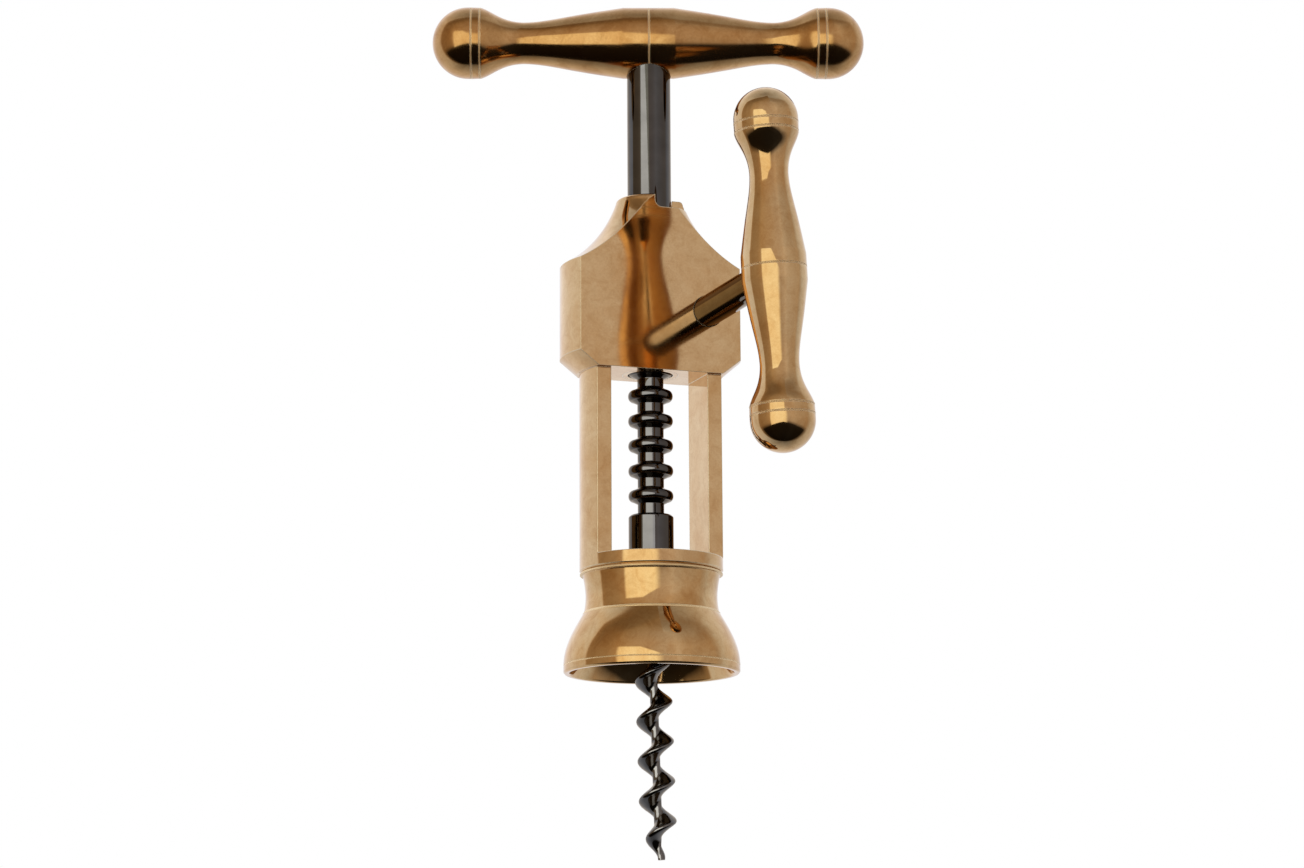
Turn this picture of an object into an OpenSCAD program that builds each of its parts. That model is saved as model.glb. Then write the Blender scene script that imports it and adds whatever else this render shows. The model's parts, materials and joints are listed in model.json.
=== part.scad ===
// Rack-and-pinion corkscrew with a side handle.
// Millimetres. The origin is the centre of the bell's bottom rim, +Z runs up the rod,
// and -Y is the front face, where the pinion's axle leaves for the side handle.

/* [Head] */
// thickness of the head's side wall beside the pinion's pocket
head_wall = 1.54; // [1.4:0.01:3]
// half the distance between the head's front and back flats
head_flat = 7.35; // [7.2:0.05:8.5]
// height of the head's underside
head_bottom = 66.93; // [64:0.01:68]
// width of the chamfer round the head's lower edge
head_chamfer = 3.9; // [1:0.1:4.2]
// height of the same chamfer
head_chamfer_rise = 3.3; // [1:0.1:4]
// height where the shoulder leaves the head
head_top = 91.2; // [90.5:0.1:93]
// radius of the hollow curve of the shoulders
shoulder_curve = 27.7; // [24:0.1:40]
// height of the neck's top
neck_top = 107.15; // [106:0.05:110]
// radius of the neck under its top edge
neck_radius = 7.62; // [7.4:0.01:8]
// rounding of the neck's top edge
neck_edge = 0.9; // [0.3:0.1:1]
// left side of the notch in the neck's front edge
notch_left = -1.25; // [-3:0.05:1]
// depth of the notch below the neck's top
notch_depth = 3; // [1.8:0.05:4]
// how far the notch stops in front of the rod's axis
notch_back = 1.8; // [0.5:0.1:3]
// radius in the corner of the notch
notch_fillet = 1.6; // [0.5:0.1:2.5]

/* [Cage] */
// radius of the turned barrel that the pillars are cut from
cage_radius = 15.87; // [15:0.01:16.2]
// half the distance between the pillars' front and back flats
pillar_flat = 6.1; // [5:0.1:7]
// half the width of the window between the pillars
window_half = 11.36; // [10:0.01:12]
// height of the window's sill
window_sill = 25.38; // [24:0.01:27]
// height of the seam between cage and bell
seam_height = 22.4; // [21.5:0.1:23.4]
// bevel along that seam
seam_bevel = 0.37; // [0.1:0.01:0.6]
// radius of the cage's spigot in the bell
spigot_radius = 13.1; // [12.5:0.1:13.5]
// how far the spigot reaches down into the bell
spigot_length = 6.9; // [4:0.1:8]
// radius of the cork's passage
cork_bore = 11.3; // [10.5:0.1:12]

/* [Bell] */
// outside radius of the rim
bell_radius = 19.45; // [19:0.01:21]
// height of the upright band above the rim
rim_band = 1.9; // [1.2:0.1:2.5]
// height where the flare meets the neck of the bell
flare_top = 13.05; // [12:0.05:14]
// radius of the flare at that height
flare_radius = 15.2; // [14.9:0.05:15.8]
// smallest radius of the bell's neck
bell_neck = 14.55; // [14.2:0.05:14.8]
// height of that smallest radius
bell_neck_height = 17.3; // [16.5:0.1:18.5]
// radius of the bead under the seam
bead_radius = 15.85; // [15.5:0.05:16.2]
// height of the bead
bead_height = 0.8; // [0.5:0.05:1.2]
// depth of the fine turned grooves
fine_groove = 0.13; // [0.05:0.01:0.2]
// inside radius of the mouth at the rim
mouth_radius = 18; // [17:0.1:18.6]
// inside radius of the mouth at its ceiling
ceiling_radius = 15.6; // [14.5:0.1:16]
// height of the ceiling, which rests on the bottle
ceiling_height = 9; // [7:0.1:10]

/* [Rack and rod] */
// radius over the rack's ridges
rack_radius = 5; // [4.95:0.01:5.1]
// radius at the bottom of the grooves
rack_root = 2.93; // [2.6:0.01:3.2]
// distance from one ridge to the next
rack_pitch = 5.655; // [5.6:0.001:5.7]
// number of ridges
ridge_count = 11; // [10:1:11]
// half the thickness of a ridge where its rounding starts
ridge_half = 1.42; // [1.2:0.01:1.5]
// depth of the rounding on a ridge
ridge_round = 1; // [0.6:0.05:1.2]
// how much a ridge's flanks spread towards the root
ridge_spread = 0.54; // [0.3:0.01:0.6]
// height of the lowest ridge above the rack's lower end
first_ridge = 4.27; // [4:0.01:4.5]
// height of the rack's lower end
rack_bottom = 35.27; // [35:0.01:36]
// distance from the highest ridge to the plain band above it
band_gap = 3.86; // [3.5:0.01:5]
// length of the plain band at the rack's upper end
rack_band = 4.9; // [2:0.1:5.5]
// radius of the plain upper rod
rod_radius = 4.925; // [4.7:0.005:4.95]
// radius of the inner rod that turns inside the rack
inner_rod = 1.8; // [1.6:0.05:2]
// how far the inner rod reaches into the collar
inner_rod_seat = 13.7; // [11.2:0.1:14]
// how far the rod reaches past the turning handle's axis
rod_seat = 1.67; // [0:0.01:3]
// length of the collar under the rack
collar_length = 24.2; // [24:0.1:26]
// bevel of the collar's ends
collar_bevel = 0.45; // [0.2:0.05:0.8]
// radius of the cross pins in the collar
cross_pin = 0.6; // [0.5:0.05:0.8]
// how far each cross pin stays below the surface
pin_recess = 0.3; // [0.1:0.05:0.6]
// distance of each cross pin from the end of the rod or shank that it holds
pin_inset = 2.8; // [2:0.1:4]

/* [Worm] */
// radius over the worm's cutting edge
worm_radius = 4.08; // [3.8:0.01:4.4]
// radius of the solid core beside the flight
worm_core = 0.9; // [0.7:0.05:1.2]
// sharpness of the cutting edge
worm_edge = 2.6; // [1.8:0.1:3.4]
// distance that the worm advances in a turn
worm_pitch = 8.7; // [8:0.05:9.5]
// direction of the cutting edge at the rim's height, in degrees about the rod
worm_start = 234.2; // [0:0.1:360]
// radius of the worm's shank
shank_radius = 1.5; // [1.3:0.05:1.7]
// how far the shank reaches into the collar
shank_seat = 8.5; // [6:0.1:9]
// gap between the collar and the first flight
flight_gap = 0.45; // [0.3:0.05:0.8]
// distance of the point below the rim
point_depth = 40.7; // [38:0.1:44]
// length over which the flight narrows to the point
point_length = 7.7; // [5:0.1:10]
// size of the point against the full flight
point_share = 0.3; // [0.15:0.05:0.6]
// lean of the flights, as photographed, in degrees
worm_lean = 1.55; // [0:0.05:1.8]
// direction of that lean, in degrees about the rod
lean_direction = -19.9; // [-180:0.1:180]

/* [Turning handle] */
// height of the handle's axis
bar_height = 144.33; // [142:0.01:148]
// half the handle's length
bar_half = 49.1; // [47:0.1:53]
// radius of the handle's middle
bar_middle = 8.05; // [7.7:0.01:8.5]
// half the length of the straight middle
bar_flat = 5.7; // [5:0.1:7]
// radius of the handle's waists
bar_waist = 4.72; // [4.2:0.01:5.2]
// distance of the waists from the middle
bar_waist_at = 28.2; // [26:0.1:30]
// distance of the upright bands from the middle
bar_band_at = 38.3; // [37:0.1:39]
// radius of the balls at the ends
bar_ball = 8.1; // [7.6:0.01:8.6]
// turn of the handle about the rod, in degrees
bar_turn = -18.7; // [-180:0.1:180]
// radius of the screw in the top of the handle
top_screw_radius = 1.5; // [1.2:0.1:2]
// radius of that screw's head
top_screw_head = 2.8; // [2.4:0.1:3.2]
// height of that screw's head
top_head_height = 1.9; // [1.4:0.1:2]
// height of the head's seat above the handle's axis
top_head_seat = 5.6; // [5:0.1:6]
// length of the screw under its head
top_screw_length = 12.2; // [9:0.1:15]

/* [Pinion] */
// distance of the rack's pitch line from the rod's axis
pitch_line = 4.9; // [4.8:0.01:5]
// height of the pinion's axis
pinion_z = 80.95; // [80.5:0.05:81.4]
// number of teeth
pinion_teeth = 7; // [7:1:7]
// how far the teeth reach into the rack
mesh_depth = 1.1; // [0.9:0.05:1.15]
// height of a tooth
tooth_height = 1.35; // [1.2:0.05:1.5]
// half the thickness of a tooth at its tip
tooth_half = 1.1; // [0.9:0.05:1.1]
// slope of a tooth's sides, in degrees
tooth_slope = 28; // [20:1:28]
// half the pinion's width
pinion_half = 3.5; // [3:0.1:3.6]
// radius of the pinion's bore and of the axle in it
pinion_bore = 3; // [2.8:0.1:3.2]
// width and height of the pinion's key
key_size = 1.2; // [1:0.1:1.6]
// length of the pinion's key
key_length = 5; // [3:0.5:6]

/* [Axle and bearings] */
// radius of the axle in front of the pinion
axle_radius = 3.45; // [3.3:0.05:3.7]
// radius of the axle's rear journal
journal_radius = 2.5; // [2:0.1:2.7]
// how far the journal stays below the rear plate's face
journal_recess = 0.2; // [0.1:0.1:0.6]
// outside radius of the front bush
front_bush_radius = 4.7; // [4.3:0.1:5.2]
// thickness of the head's wall in front of that bush
front_wall = 1.05; // [0.8:0.05:1.5]
// radius of the rear bush's flange
rear_flange = 5; // [4.4:0.1:5.6]
// radius of the rear bush in the plate
rear_bush_radius = 3.6; // [3.2:0.1:4]
// thickness of the rear plate
plate_thickness = 2; // [1.5:0.1:2.2]
// distance from the pinion's axis to the plate's left side
plate_reach = 7; // [6.8:0.1:7.4]
// distance of the plate's top below the head's shoulder
plate_top_gap = 0.65; // [0.4:0.05:1.5]
// distance of the plate's bottom above the head's chamfer
plate_bottom_gap = 0.52; // [0.1:0.01:1.5]
// radius of the plate screws
plate_screw = 1; // [0.8:0.1:1]
// radius of the plate screws' heads
plate_screw_head = 1.8; // [1.6:0.1:1.8]
// depth of the plate screws' heads
plate_head_depth = 1.1; // [0.8:0.1:1.2]
// length of a plate screw
plate_screw_length = 5.8; // [4:0.1:5.8]
// distance of the screws from the plate's straight edges
plate_screw_inset = 2.1; // [2:0.1:2.2]
// distance of the first column of screws from the plate's left side
plate_screw_side = 3; // [2.6:0.1:3.4]
// distance between the two columns of screws
plate_screw_span = 9.2; // [8.8:0.1:9.4]
// outside radius of the bushes that guide the rack
bush_radius = 6.2; // [5.9:0.1:6.3]
// length of the neck bush
neck_bush_length = 14; // [10:0.5:15]
// length of the lower bush
lower_bush_length = 6; // [4:0.5:6.2]

/* [Side handle] */
// distance of the handle's axis in front of the rod's axis
side_reach = 46.8; // [44:0.1:50]
// half the handle's length
side_half = 39.7; // [38:0.1:43]
// radius of the handle's middle
side_middle = 7.02; // [6.7:0.01:7.5]
// half the length of the straight middle
side_flat = 2.8; // [2:0.1:4]
// radius of the handle's waists
side_waist = 4.22; // [3.8:0.01:4.8]
// distance of the waists from the middle
side_waist_at = 20.5; // [19:0.1:22]
// distance of the upright bands from the middle
side_band_at = 29.8; // [29:0.1:31]
// radius of the balls at the ends
side_ball = 7; // [6.6:0.01:7.4]
// lean of the handle at rest, in degrees
side_turn = -2.66; // [-180:0.01:180]
// how far the handle's middle lies above the axle
side_shift = 0.45; // [0:0.05:1]
// how far the axle reaches past the handle's axis
axle_seat = 1.7; // [0:0.1:2.5]
// radius of the grub screw that holds the axle
grub_radius = 1.5; // [1.2:0.1:1.8]
// how far the grub screw bites into the axle
grub_bite = 0.5; // [0.2:0.1:0.8]
// how far the grub screw stays below the handle's surface
grub_recess = 0.6; // [0.4:0.1:1]

/* [Clearances] */
// radial clearance of the rack in its bushes
slide_gap = 0.06; // [0.02:0.01:0.1]
// radial clearance of turning rods in their bores
turn_gap = 0.05; // [0.02:0.01:0.1]
// gap between faces that turn against each other
face_gap = 0.05; // [0.02:0.01:0.1]
// space between the pinion and the walls of its pocket
pocket_gap = 0.2; // [0.1:0.05:0.25]

/* [Hidden] */
$fn = 96;
brass = [0.80, 0.61, 0.30];
bronze = [0.66, 0.46, 0.24];
black = [0.10, 0.10, 0.11];
steel = [0.55, 0.55, 0.56];
far = 120;
curve_steps = 10;

spigot_bottom = seam_height - spigot_length;
notch_floor = neck_top - notch_depth;
plate_inner = head_flat - plate_thickness;
// the pinion rolls on the rack's pitch line, one tooth to a ridge
pinion_x = pitch_line + pinion_teeth * rack_pitch / (2 * PI);
pinion_tip = pinion_x - rack_radius + mesh_depth;
pinion_floor = pinion_tip - tooth_height;
pocket_radius = pinion_tip + pocket_gap;
head_radius = pinion_x + pocket_radius + head_wall;
pocket_front = -pinion_half - pocket_gap / 2;
bush_front = front_wall - head_flat;
plate_left = pinion_x - plate_reach;
plate_x = [plate_left + plate_screw_side, plate_left + plate_screw_side + plate_screw_span];
plate_bottom = head_bottom + head_chamfer_rise + plate_bottom_gap;
plate_top = head_top - plate_top_gap;
plate_z = [plate_bottom + plate_screw_inset, plate_top - plate_screw_inset];
ridge_bottom = rack_bottom + first_ridge;
rack_top = ridge_bottom + (ridge_count - 1) * rack_pitch + band_gap + rack_band;
rod_bottom = rack_top + face_gap;
rod_top = bar_height + rod_seat;
collar_top = rack_bottom - face_gap;
collar_bottom = collar_top - collar_length;
inner_rod_bottom = collar_top - inner_rod_seat;
shank_top = collar_bottom + shank_seat;
collar_pin_height = inner_rod_bottom + pin_inset;
worm_pin_height = shank_top - pin_inset;
flight_top = collar_bottom - flight_gap;
point_top = point_length - point_depth;
// turn that puts a gap of the pinion on a ridge of the rack
ridges_up = (pinion_z - ridge_bottom) / rack_pitch;
pinion_phase = (ridges_up - floor(ridges_up)) * 360 / pinion_teeth;

// centre of the shoulder's hollow curve, through the head's and the neck's ends of it
low_end = [head_radius, head_top];
high_end = [neck_radius, neck_top - neck_edge];
chord = high_end - low_end;
chord_length = norm(chord);
curve_offset = sqrt(shoulder_curve * shoulder_curve - chord_length * chord_length / 4);
shoulder_centre = (low_end + high_end) / 2
    + curve_offset * [chord[1], -chord[0]] / chord_length;

function reversed(list) = [for (i = [len(list) - 1:-1:0]) list[i]];
function both_sides(half) =
    concat([for (p = reversed(half)) if (p[0] > 0) [-p[0], p[1]]], half);

// long taper from a handle's middle to its waist, as a share of the fall in radius
function taper(t) = t + 0.085 * sin(180 * pow(t, 3));
// rise from a waist to the band beside the ball
function rise(t) = t * t + 0.1 * sin(180 * pow(t, 3));

// half of a handle's outline, as distance from the middle and radius
function handle_half(flat, middle, waist_at, waist, band_at, ball) = concat(
    [[0, middle - fine_groove], [fine_groove, middle], [flat, middle]],
    [for (i = [1:curve_steps]) let (t = i / curve_steps)
        [flat + (waist_at - flat) * t, middle - (middle - waist) * taper(t)]],
    [for (i = [1:curve_steps]) let (t = i / curve_steps)
        [waist_at + (band_at - waist_at) * t, waist + (ball - 0.05 - waist) * rise(t)]],
    [[band_at + fine_groove, ball - 0.05 - fine_groove], [band_at + 2 * fine_groove, ball - 0.04]],
    [for (d = [1.9]) each [[band_at + d, ball], [band_at + d + fine_groove, ball - fine_groove],
                           [band_at + d + 2 * fine_groove, ball]]]);

// a handle turned about Z, with a ball at each end
module turned_handle(half, length, ball) {
    last = half[len(half) - 1][0];
    rotate_extrude() polygon(concat(
        [[0, -last]], [for (p = both_sides(half)) [p[1], p[0]]], [[0, last]]));
    for (side = [0, 1]) mirror([0, 0, side]) {
        translate([0, 0, last]) cylinder(r = ball, h = max(0.01, length - ball - last));
        intersection() {
            translate([0, 0, length - ball]) sphere(r = ball);
            translate([0, 0, max(last, length - ball)]) cylinder(r = far, h = far);
        }
    }
}

// a cylinder along Y from one value of y to another, on the pinion's axis
module on_axle(r, y0, y1)
    translate([pinion_x, y1, pinion_z]) rotate([90, 0, 0]) cylinder(r = r, h = y1 - y0);

// the side handle's own position, its long axis along Z
module at_side()
    translate([pinion_x, -side_reach, pinion_z]) rotate([0, side_turn, 0]) children();

// the turning handle's own position, its long axis along Z
module at_bar()
    translate([0, 0, bar_height]) rotate([0, 0, bar_turn]) rotate([0, 90, 0]) children();

// the outside of cage, head and neck, turned from one bar
module turned_body() rotate_extrude() difference() {
    union() {
        translate([0, spigot_bottom]) square([spigot_radius, seam_height - spigot_bottom + 1]);
        polygon([[0, seam_height], [cage_radius - seam_bevel, seam_height],
                 [cage_radius, seam_height + seam_bevel], [cage_radius, head_bottom + 0.01],
                 [0, head_bottom + 0.01]]);
        polygon([[0, head_bottom], [head_radius - head_chamfer, head_bottom],
                 [head_radius, head_bottom + head_chamfer_rise],
                 [head_radius, head_top], [head_radius, high_end[1]],
                 [neck_radius, high_end[1]],
                 [neck_radius - 0.3 * neck_edge, neck_top - 0.3 * neck_edge],
                 [neck_radius - neck_edge, neck_top], [0, neck_top]]);
    }
    translate(shoulder_centre) circle(r = shoulder_curve, $fn = 360);
}

module notch() rotate([90, 0, 0]) translate([0, 0, notch_back]) linear_extrude(far) union() {
    translate([notch_left + notch_fillet, notch_floor]) square([far, far]);
    translate([notch_left, notch_floor + notch_fillet]) square([far, far]);
    translate([notch_left + notch_fillet, notch_floor + notch_fillet]) circle(r = notch_fillet);
}

module slab(half, z0, z1) translate([-far / 2, -half, z0]) cube([far, 2 * half, z1 - z0]);

// the shape of one plate screw
module screw_shape(x, z) {
    translate([x, head_flat - plate_head_depth, z]) rotate([90, 0, 0])
        cylinder(r = plate_screw, h = plate_screw_length - plate_head_depth);
    translate([x, head_flat, z]) rotate([90, 0, 0])
        cylinder(r1 = plate_screw_head, r2 = plate_screw, h = plate_head_depth);
}

module frame() color(brass) difference() {
    intersection() {
        turned_body();
        union() {
            slab(head_flat, head_bottom, neck_top + 1);
            slab(pillar_flat, window_sill, head_bottom);
            slab(far / 2, spigot_bottom - 1, window_sill);
        }
    }
    translate([-window_half, -far / 2, window_sill])
        cube([2 * window_half, far, head_bottom - window_sill]);
    translate([0, 0, spigot_bottom - 1]) cylinder(r = cork_bore, h = window_sill - spigot_bottom + 2);
    translate([0, 0, head_bottom - 1]) cylinder(r = bush_radius, h = notch_floor - head_bottom + 1);
    translate([0, 0, notch_floor - 1]) cylinder(r = rack_radius + slide_gap, h = far);
    notch();
    on_axle(pocket_radius, pocket_front, plate_inner + 1);
    on_axle(front_bush_radius, bush_front, 0);
    on_axle(axle_radius + turn_gap, -far, 0);
    translate([plate_left, plate_inner, plate_bottom]) cube([far, far, plate_top - plate_bottom]);
    for (x = plate_x, z = plate_z) screw_shape(x, z);
}

module bell() color(brass) {
    band = bell_radius - 0.05;
    high = seam_height - bead_height - 0.1;
    low = flare_top + 0.5;
    rotate_extrude() polygon(concat(
        [[mouth_radius, 0], [bell_radius - 0.3, 0], [bell_radius, 0.4], [bell_radius, rim_band]],
        [for (i = [1:curve_steps]) let (t = 1 - i / curve_steps)
            [flare_radius + (bell_radius - flare_radius) * sin(90 * t),
             flare_top - (flare_top - rim_band) * t]],
        [[flare_radius, flare_top + 0.3]],
        [for (i = [0:curve_steps]) let (t = 1 - i / curve_steps)
            [bell_neck + (flare_radius - 0.2 - bell_neck) * t * t,
             bell_neck_height - (bell_neck_height - low) * t]],
        [for (i = [1:curve_steps]) let (t = i / curve_steps)
            [bell_neck + (bead_radius - 0.35 - bell_neck) * pow(t, 1.6),
             bell_neck_height + (high - bell_neck_height) * t]],
        [[bead_radius, high + 0.1], [bead_radius, seam_height - 0.4],
         [cage_radius - seam_bevel, seam_height],
         [spigot_radius, seam_height], [spigot_radius, spigot_bottom],
         [cork_bore, spigot_bottom], [cork_bore, ceiling_height + 0.6],
         [cork_bore + 0.6, ceiling_height], [ceiling_radius - 0.5, ceiling_height],
         [ceiling_radius, ceiling_height - 0.5]]));
}

// a bush round the rack
module rack_bush(z, length) difference() {
    translate([0, 0, z]) cylinder(r = bush_radius, h = length);
    translate([0, 0, z - 1]) cylinder(r = rack_radius + slide_gap, h = length + 2);
}

module neck_bush() color(bronze) rack_bush(notch_floor - neck_bush_length, neck_bush_length);

module lower_bush() color(brass) rack_bush(head_bottom, lower_bush_length);

module rear_plate() color(brass) difference() {
    intersection() {
        turned_body();
        translate([plate_left, plate_inner, plate_bottom])
            cube([far, plate_thickness, plate_top - plate_bottom]);
    }
    on_axle(rear_bush_radius, 0, far);
    for (x = plate_x, z = plate_z) screw_shape(x, z);
}

module plate_screws() color(steel) for (x = plate_x, z = plate_z) difference() {
    screw_shape(x, z);
    translate([x - plate_screw_head, head_flat - plate_head_depth / 2, z - plate_screw / 4])
        cube([2 * plate_screw_head, plate_head_depth, plate_screw / 2]);
}

module front_bush() color(bronze) difference() {
    on_axle(front_bush_radius, bush_front, pocket_front);
    on_axle(axle_radius + turn_gap, -far, far);
}

module rear_bush() color(bronze) difference() {
    union() {
        on_axle(rear_flange, pinion_half + face_gap, plate_inner);
        on_axle(rear_bush_radius, plate_inner - 0.5, head_flat);
    }
    on_axle(journal_radius + turn_gap, -far, far);
}

// one ridge of the rack, as radius and height
function ridge(z) = let (start = rack_radius - ridge_round) concat(
    [[rack_root, z - ridge_half - ridge_spread]],
    [for (a = [0:15:180]) [start + ridge_round * sin(a), z - ridge_half * cos(a)]],
    [[rack_root, z + ridge_half + ridge_spread]]);

module rack() color(black) rotate_extrude() polygon(concat(
    [[inner_rod + slide_gap, rack_bottom], [rack_root, rack_bottom]],
    [for (k = [0:ridge_count - 1]) each ridge(ridge_bottom + k * rack_pitch)],
    [[rack_root, rack_top - rack_band], [rod_radius - 0.3, rack_top - rack_band],
     [rod_radius, rack_top - rack_band + 0.3], [rod_radius, rack_top],
     [inner_rod + slide_gap, rack_top]]));

module cross_hole(height, length) rotate([0, 0, 70]) translate([-length / 2, 0, height])
    rotate([0, 90, 0]) cylinder(r = cross_pin, h = length);

module upper_rod() color(black) difference() {
    union() {
        translate([0, 0, rod_bottom]) cylinder(r = rod_radius, h = rod_top - rod_bottom);
        translate([0, 0, inner_rod_bottom])
            cylinder(r = inner_rod, h = rod_bottom - inner_rod_bottom + 1);
    }
    cross_hole(collar_pin_height, far);
    translate([0, 0, bar_height + top_head_seat - top_screw_length])
        cylinder(r = top_screw_radius, h = far);
}

module collar() color(black) difference() {
    rotate_extrude() polygon([
        [0, collar_bottom], [rack_radius - collar_bevel, collar_bottom],
        [rack_radius, collar_bottom + collar_bevel], [rack_radius, collar_top - collar_bevel],
        [rack_radius - collar_bevel, collar_top], [0, collar_top]]);
    translate([0, 0, inner_rod_bottom]) cylinder(r = inner_rod, h = far);
    translate([0, 0, collar_bottom - 1]) cylinder(r = shank_radius, h = shank_seat + 1);
    cross_hole(collar_pin_height, far);
    cross_hole(worm_pin_height, far);
}

module collar_pin() color(steel) cross_hole(collar_pin_height, 2 * (rack_radius - pin_recess));

module worm_pin() color(steel) cross_hole(worm_pin_height, 2 * (rack_radius - pin_recess));

// the worm cut across its axis: a round core drawn out to one cutting edge
module worm_section(size) polygon([for (a = [0:15:345])
    let (r = size * (worm_core + (worm_radius - worm_core) * pow((1 + cos(a)) / 2, worm_edge)))
    [r * cos(a), r * sin(a)]]);

module worm() color(black) difference() {
    union() {
        translate([0, 0, flight_top - 1])
            cylinder(r = shank_radius, h = shank_top - flight_top + 1);
        translate([0, 0, flight_top]) rotate([0, 0, lean_direction])
            rotate([0, -worm_lean, 0]) rotate([0, 0, -lean_direction])
            translate([0, 0, -flight_top]) {
                full = flight_top - 0.15 - point_top;
                translate([0, 0, point_top])
                    rotate([0, 0, worm_start + point_top * 360 / worm_pitch])
                    linear_extrude(height = full, slices = 120, $fn = 24,
                                   twist = -full * 360 / worm_pitch)
                    worm_section(1);
                translate([0, 0, -point_depth])
                    rotate([0, 0, worm_start - point_depth * 360 / worm_pitch])
                    linear_extrude(height = point_length + 0.001, slices = 24, $fn = 24,
                                   twist = -point_length * 360 / worm_pitch,
                                   scale = 1 / point_share)
                    worm_section(point_share);
            }
    }
    cross_hole(worm_pin_height, far);
}

module bar_handle() color(brass) difference() {
    at_bar() turned_handle(
        handle_half(bar_flat, bar_middle, bar_waist_at, bar_waist, bar_band_at, bar_ball),
        bar_half, bar_ball);
    translate([0, 0, rod_top - far]) cylinder(r = rod_radius, h = far);
    translate([0, 0, bar_height]) cylinder(r = top_screw_radius, h = far);
    translate([0, 0, bar_height + top_head_seat]) cylinder(r = top_screw_head, h = far);
}

module top_screw() color(steel) difference() {
    translate([0, 0, bar_height + top_head_seat]) {
        translate([0, 0, -top_screw_length])
            cylinder(r = top_screw_radius, h = top_screw_length + 0.5);
        cylinder(r = top_screw_head, h = top_head_height);
    }
    translate([0, 0, bar_height + top_head_seat + 0.5])
        cylinder(r = top_screw_radius, h = far, $fn = 6);
}

module tooth() {
    half_foot = tooth_half + tooth_height * tan(tooth_slope);
    polygon([[pinion_floor - 0.5, -half_foot], [pinion_floor, -half_foot],
             [pinion_tip - 0.05, -tooth_half], [pinion_tip, 0], [pinion_tip - 0.05, tooth_half],
             [pinion_floor, half_foot], [pinion_floor - 0.5, half_foot]]);
}

module key_space() translate([pinion_x - key_size / 2, -key_length / 2,
                              pinion_z + pinion_bore - key_size / 2])
    cube([key_size, key_length, key_size]);

module pinion() color(steel) difference() {
    translate([pinion_x, pinion_half, pinion_z]) rotate([90, 0, 0])
        linear_extrude(2 * pinion_half) {
            circle(r = pinion_floor);
            for (k = [0:pinion_teeth - 1])
                rotate(180 + pinion_phase + (k + 0.5) * 360 / pinion_teeth) tooth();
        }
    on_axle(pinion_bore, -far, far);
    key_space();
}

module pinion_key() color(steel) key_space();

module axle() color(black) difference() {
    union() {
        on_axle(axle_radius, -side_reach - axle_seat, -pinion_half);
        on_axle(pinion_bore, -pinion_half - 1, pinion_half);
        on_axle(journal_radius, pinion_half - 1, head_flat - journal_recess);
    }
    key_space();
    at_side() translate([axle_radius - grub_bite, 0, 0]) rotate([0, 90, 0])
        cylinder(r = grub_radius, h = far);
}

module side_handle() color(brass) difference() {
    at_side() translate([0, 0, side_shift]) turned_handle(
        handle_half(side_flat, side_middle, side_waist_at, side_waist, side_band_at, side_ball),
        side_half, side_ball);
    on_axle(axle_radius, -side_reach - axle_seat, 0);
    at_side() rotate([0, 90, 0]) cylinder(r = grub_radius, h = far);
}

module side_grub() color(steel) at_side() difference() {
    translate([axle_radius - grub_bite, 0, 0]) rotate([0, 90, 0])
        cylinder(r = grub_radius,
                 h = side_middle - grub_recess - axle_radius + grub_bite);
    translate([side_middle - grub_recess - 0.8, 0, 0]) rotate([0, 90, 0])
        cylinder(r = grub_radius / 2, h = 2, $fn = 6);
}

frame();
bell();
neck_bush();
lower_bush();
rear_plate();
plate_screws();
front_bush();
rear_bush();
rack();
upper_rod();
collar();
collar_pin();
worm();
worm_pin();
bar_handle();
top_screw();
pinion();
pinion_key();
axle();
side_handle();
side_grub();
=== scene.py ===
import json
import math

import bpy
from mathutils import Matrix, Vector


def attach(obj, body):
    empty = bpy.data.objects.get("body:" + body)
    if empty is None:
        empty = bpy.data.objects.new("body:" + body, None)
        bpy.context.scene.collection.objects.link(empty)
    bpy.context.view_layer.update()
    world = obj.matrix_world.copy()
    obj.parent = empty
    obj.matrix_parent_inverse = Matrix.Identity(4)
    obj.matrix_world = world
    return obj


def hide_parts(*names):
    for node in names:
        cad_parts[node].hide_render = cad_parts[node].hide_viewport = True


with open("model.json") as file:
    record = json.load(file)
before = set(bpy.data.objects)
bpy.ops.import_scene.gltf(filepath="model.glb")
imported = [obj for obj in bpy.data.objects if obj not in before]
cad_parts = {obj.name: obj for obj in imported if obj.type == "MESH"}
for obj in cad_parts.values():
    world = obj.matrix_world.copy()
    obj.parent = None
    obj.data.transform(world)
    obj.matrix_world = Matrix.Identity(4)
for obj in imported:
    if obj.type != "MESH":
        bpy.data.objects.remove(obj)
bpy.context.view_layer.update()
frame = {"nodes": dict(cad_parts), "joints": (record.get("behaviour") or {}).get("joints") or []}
bpy.context.scene.view_settings.view_transform = "Standard"
mm = 0.001
tiny = 1e-6  # shorter than anything that is drawn
print("frame loaded:", len(frame["nodes"]), "pieces")


def hexColour(code):  # sRGB hex to linear, with alpha
    parts = [int(code[i:i + 2], 16) / 255 for i in (1, 3, 5)]
    return [c / 12.92 if c <= 0.04045 else ((c + 0.055) / 1.055) ** 2.4 for c in parts] + [1]


def addNode(tree, kind, settings=None, inputs=None, ramp=None):
    node = tree.nodes.new(kind)
    for name, value in (settings or {}).items():
        setattr(node, name, value)
    for name, value in (inputs or {}).items():
        if isinstance(value, bpy.types.NodeSocket):
            tree.links.new(value, node.inputs[name])
        else:
            node.inputs[name].default_value = value
    if ramp:
        stops = node.color_ramp.elements
        while len(stops) < len(ramp):
            stops.new(0.5)
        for stop, (place, colour) in zip(stops, ramp):
            stop.position = place
            stop.color = hexColour(colour) if isinstance(colour, str) else [colour] * 3 + [1]
    return node


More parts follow.
